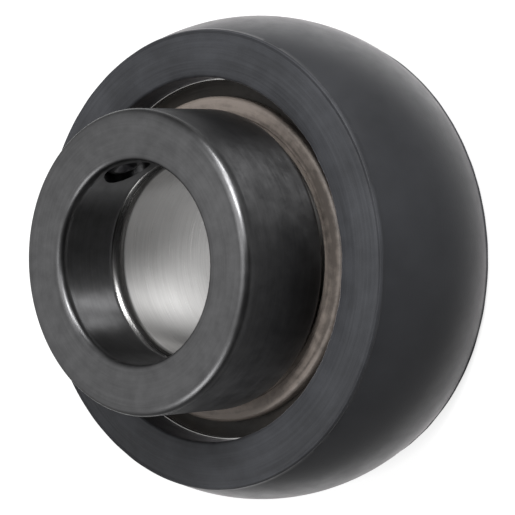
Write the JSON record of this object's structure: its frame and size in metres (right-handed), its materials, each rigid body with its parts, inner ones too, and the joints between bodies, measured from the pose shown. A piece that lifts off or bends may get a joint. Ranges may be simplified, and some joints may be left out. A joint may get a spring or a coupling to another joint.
{
  "type": "rubber-cushioned insert ball bearing",
  "caption": "Insert ball bearing in a crowned rubber cushion ring, with a one-sided extended inner ring and an eccentric locking collar.",
  "frame": {"origin": "on the shaft axis, in the plane through the centres of the balls", "axes": "+Z along the shaft axis towards the locking collar; +X is a free radial direction, through the centre of the first ball"},
  "size_m": [0.0623, 0.0622, 0.0346],
  "materials": {
    "cushion_rubber": "moulded, matt, charcoal",
    "seal_rubber": "moulded, satin, brown-black",
    "black_steel": "black oxide, satin",
    "screw_steel": "black oxide",
    "ring_steel": "ground",
    "seal_plate_steel": "pressed, bright, faintly yellow",
    "cage_steel": "pressed",
    "rivet_steel": "headed",
    "ball_steel": "lapped"
  },
  "bodies": {
    "outer": {"outer_ring": "ring_steel", "rubber_cushion": "cushion_rubber", "front_seal_plate": "seal_plate_steel", "front_seal_rubber": "seal_rubber", "rear_seal_plate": "seal_plate_steel", "rear_seal_rubber": "seal_rubber"},
    "inner": {"inner_ring": "ring_steel"},
    "collar": {"locking_collar": "black_steel"},
    "screw": {"set_screw": "screw_steel"},
    "cage": {"cage_front": "cage_steel", "cage_rear": "cage_steel", "cage_rivet_1": "rivet_steel", "cage_rivet_2": "rivet_steel", "cage_rivet_3": "rivet_steel", "cage_rivet_4": "rivet_steel", "cage_rivet_5": "rivet_steel", "cage_rivet_6": "rivet_steel", "cage_rivet_7": "rivet_steel", "cage_rivet_8": "rivet_steel", "cage_rivet_9": "rivet_steel"},
    "ball_1": {"ball_1": "ball_steel"},
    "ball_2": {"ball_2": "ball_steel"},
    "ball_3": {"ball_3": "ball_steel"},
    "ball_4": {"ball_4": "ball_steel"},
    "ball_5": {"ball_5": "ball_steel"},
    "ball_6": {"ball_6": "ball_steel"},
    "ball_7": {"ball_7": "ball_steel"},
    "ball_8": {"ball_8": "ball_steel"},
    "ball_9": {"ball_9": "ball_steel"}
  },
  "joints": [
    {"name": "inner_spin", "type": "hinge", "parent": "outer", "child": "inner", "pos_m": [0, 0, 0], "axis": [0, 0, 1], "continuous": true},
    {"name": "cage_orbit", "type": "hinge", "parent": "outer", "child": "cage", "pos_m": [0, 0, 0], "axis": [0, 0, 1], "continuous": true},
    {"name": "ball_1_spin", "type": "hinge", "parent": "cage", "child": "ball_1", "pos_m": [0.01925, 0, 0], "axis": [0, 0, 1], "continuous": true},
    {"name": "ball_2_spin", "type": "hinge", "parent": "cage", "child": "ball_2", "pos_m": [0.01475, 0.01237, 0], "axis": [0, 0, 1], "continuous": true},
    {"name": "ball_3_spin", "type": "hinge", "parent": "cage", "child": "ball_3", "pos_m": [0.00334, 0.01896, 0], "axis": [0, 0, 1], "continuous": true},
    {"name": "ball_4_spin", "type": "hinge", "parent": "cage", "child": "ball_4", "pos_m": [-0.00962, 0.01667, 0], "axis": [0, 0, 1], "continuous": true},
    {"name": "ball_5_spin", "type": "hinge", "parent": "cage", "child": "ball_5", "pos_m": [-0.01809, 0.00658, 0], "axis": [0, 0, 1], "continuous": true},
    {"name": "ball_6_spin", "type": "hinge", "parent": "cage", "child": "ball_6", "pos_m": [-0.01809, -0.00658, 0], "axis": [0, 0, 1], "continuous": true},
    {"name": "ball_7_spin", "type": "hinge", "parent": "cage", "child": "ball_7", "pos_m": [-0.00962, -0.01667, 0], "axis": [0, 0, 1], "continuous": true},
    {"name": "ball_8_spin", "type": "hinge", "parent": "cage", "child": "ball_8", "pos_m": [0.00334, -0.01896, 0], "axis": [0, 0, 1], "continuous": true},
    {"name": "ball_9_spin", "type": "hinge", "parent": "cage", "child": "ball_9", "pos_m": [0.01475, -0.01237, 0], "axis": [0, 0, 1], "continuous": true},
    {"name": "collar_lock", "type": "hinge", "parent": "inner", "child": "collar", "pos_m": [0, 0, 0.0189], "axis": [0, 0, 1], "range_deg": [-13, 13]},
    {"name": "screw_travel", "type": "slide", "parent": "collar", "child": "screw", "axis": [-0.3746, 0.9272, 0], "range_m": [-0.0004, 0.003]}
  ],
  "couplings": [
    {"joint": "cage_orbit", "follows": "inner_spin", "ratio": 0.39691},
    {"joint": "ball_1_spin", "follows": "inner_spin", "ratio": -2.322},
    {"joint": "ball_2_spin", "follows": "inner_spin", "ratio": -2.322},
    {"joint": "ball_3_spin", "follows": "inner_spin", "ratio": -2.322},
    {"joint": "ball_4_spin", "follows": "inner_spin", "ratio": -2.322},
    {"joint": "ball_5_spin", "follows": "inner_spin", "ratio": -2.322},
    {"joint": "ball_6_spin", "follows": "inner_spin", "ratio": -2.322},
    {"joint": "ball_7_spin", "follows": "inner_spin", "ratio": -2.322},
    {"joint": "ball_8_spin", "follows": "inner_spin", "ratio": -2.322},
    {"joint": "ball_9_spin", "follows": "inner_spin", "ratio": -2.322}
  ]
}
